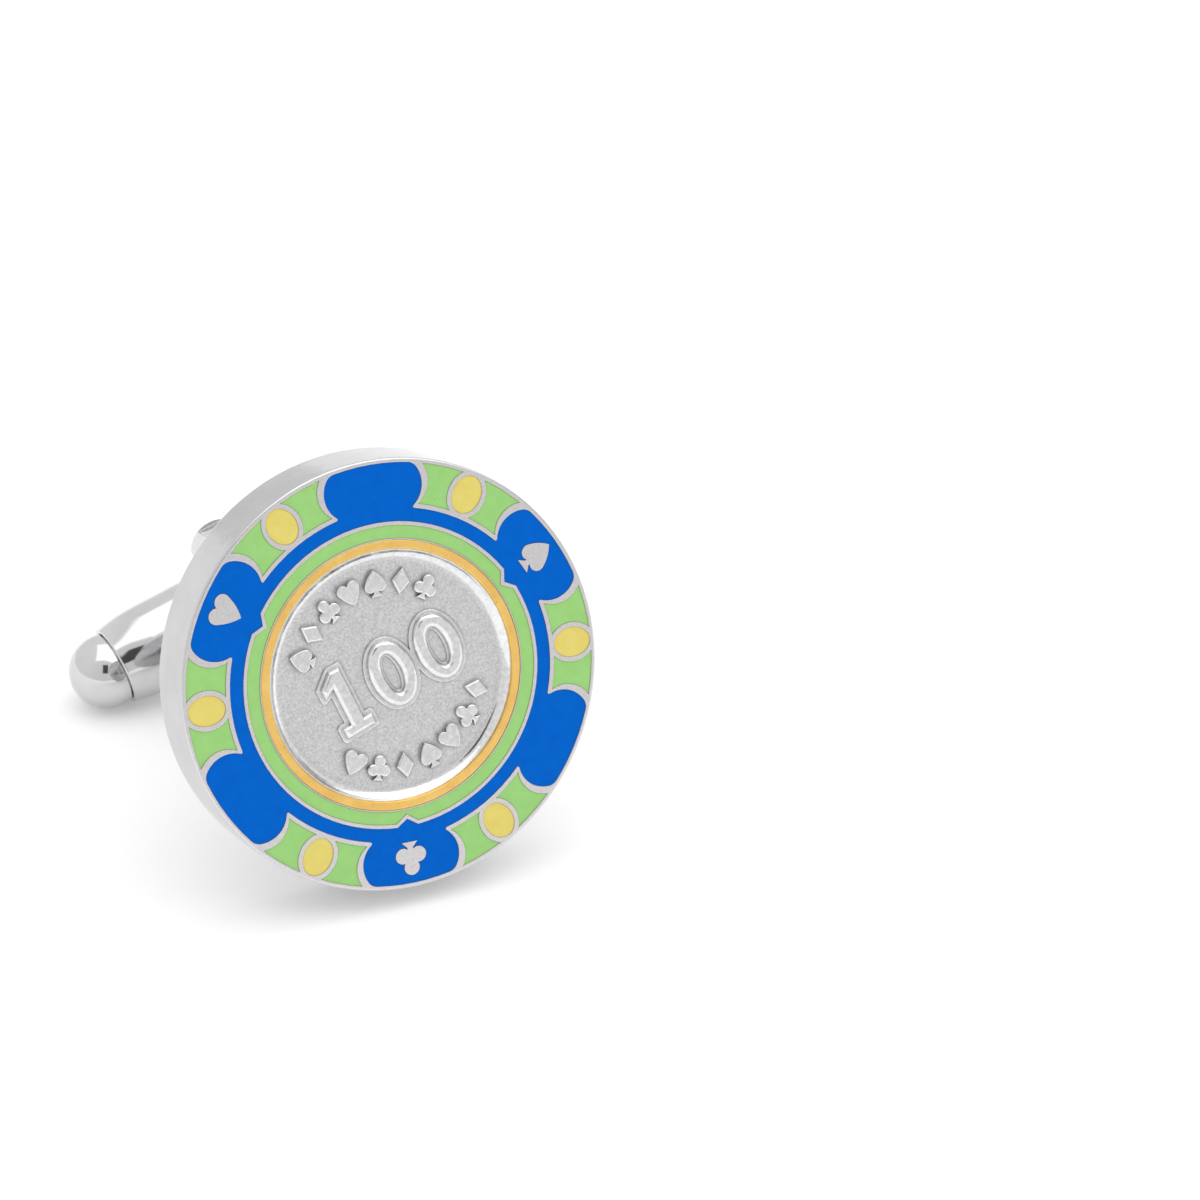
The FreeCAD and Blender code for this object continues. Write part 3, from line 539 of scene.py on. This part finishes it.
# Sky: white studio walls with a few dark gaps that the metal mirrors.
sky = bpy.data.worlds.new("studio")
bpy.context.scene.world = sky
sky.use_nodes = True
tree = sky.node_tree
tree.nodes.clear()
out = tree.nodes.new("ShaderNodeOutputWorld")
back = tree.nodes.new("ShaderNodeBackground")
tree.links.new(back.outputs[0], out.inputs[0])
coord = tree.nodes.new("ShaderNodeTexCoord")


def sky_dot(direction):
    n = tree.nodes.new("ShaderNodeVectorMath")
    n.operation = "DOT_PRODUCT"
    tree.links.new(coord.outputs["Generated"], n.inputs[0])
    n.inputs[1].default_value = Vector(direction).normalized()
    return n.outputs["Value"]


def sky_span(value, a, b, lo, hi):
    n = tree.nodes.new("ShaderNodeMapRange")
    n.interpolation_type = "SMOOTHSTEP"
    tree.links.new(value, n.inputs["Value"])
    for key, v in (("From Min", a), ("From Max", b), ("To Min", lo), ("To Max", hi)):
        n.inputs[key].default_value = v
    return n.outputs["Result"]


def sky_math(op, a, b):
    n = tree.nodes.new("ShaderNodeMath")
    n.operation = op
    for sock, v in zip(n.inputs, (a, b)):
        if isinstance(v, bpy.types.NodeSocket):
            tree.links.new(v, sock)
        else:
            sock.default_value = v
    return n.outputs[0]


def toward(az, el):
    """Unit direction; azimuth 0 looks to -Y, 90 to +X."""
    a, e = math.radians(az), math.radians(el)
    return Vector((math.sin(a) * math.cos(e), -math.cos(a) * math.cos(e), math.sin(e)))


def panel(az, el, half_w, half_h, soft=0.03, roll=0.0):
    """1 inside a soft-edged rectangular patch of the sky, half sizes in degrees."""
    c = toward(az, el)
    side = Vector((0, 0, 1)).cross(c) if abs(c.z) < 0.98 else Vector((1, 0, 0))
    side.normalize()
    rise = c.cross(side)
    turn = Matrix.Rotation(math.radians(roll), 3, c)
    side, rise = turn @ side, turn @ rise
    out = sky_span(sky_dot(c), 0.0, 0.1, 0.0, 1.0)
    for axis, half in ((side, half_w), (rise, half_h)):
        edge = math.sin(math.radians(half))
        n = tree.nodes.new("ShaderNodeMath")
        n.operation = "ABSOLUTE"
        tree.links.new(sky_dot(axis), n.inputs[0])
        out = sky_math("MULTIPLY", out, sky_span(n.outputs[0], edge + soft, edge - soft, 0.0, 1.0))
    return out


# White walls, a large soft box overhead, a darker side towards the camera
# and the dark opening that the camera looks through.
level = sky_span(sky_dot((0, -1, 0)), -0.2, 0.9, 1.16, 1.02)
level = sky_math("ADD", level, sky_math("MULTIPLY", panel(60, 77, 27, 35, 0.06), 1.05))
dark = sky_math("MULTIPLY", panel(-21, 36, 8, 13, 0.03), 0.9)
for az, el, w, h, k in ((88, 20, 12, 9, 0.55),):
    dark = sky_math("MAXIMUM", dark, sky_math("MULTIPLY", panel(az, el, w, h, 0.12), k))
shade = sky_math("SUBTRACT", 1.0, dark)
tree.links.new(sky_math("MULTIPLY", level, shade), back.inputs["Strength"])

# --------------------------------------------------------------------- camera
eye = world(-41.6033, 65.3868, 179.9954)
right = R @ Vector((0.824484, -0.405693, 0.394512))
up = R @ Vector((0.501362, 0.846982, -0.176804))
behind = R @ Vector((-0.262416, 0.343564, 0.901721))
lens = bpy.data.cameras.new("view")
lens.sensor_width = 36.0
lens.lens = 134.639
lens.clip_start = 0.01
lens.clip_end = 20.0
cam = bpy.data.objects.new("view", lens)
bpy.context.scene.collection.objects.link(cam)
cam.matrix_world = Matrix((right, up, behind)).transposed().to_4x4()
cam.location = eye
bpy.context.scene.camera = cam

view = bpy.context.scene.view_settings
view.view_transform = "Standard"
view.look = "None"
view.exposure = 0.0
view.gamma = 1.0
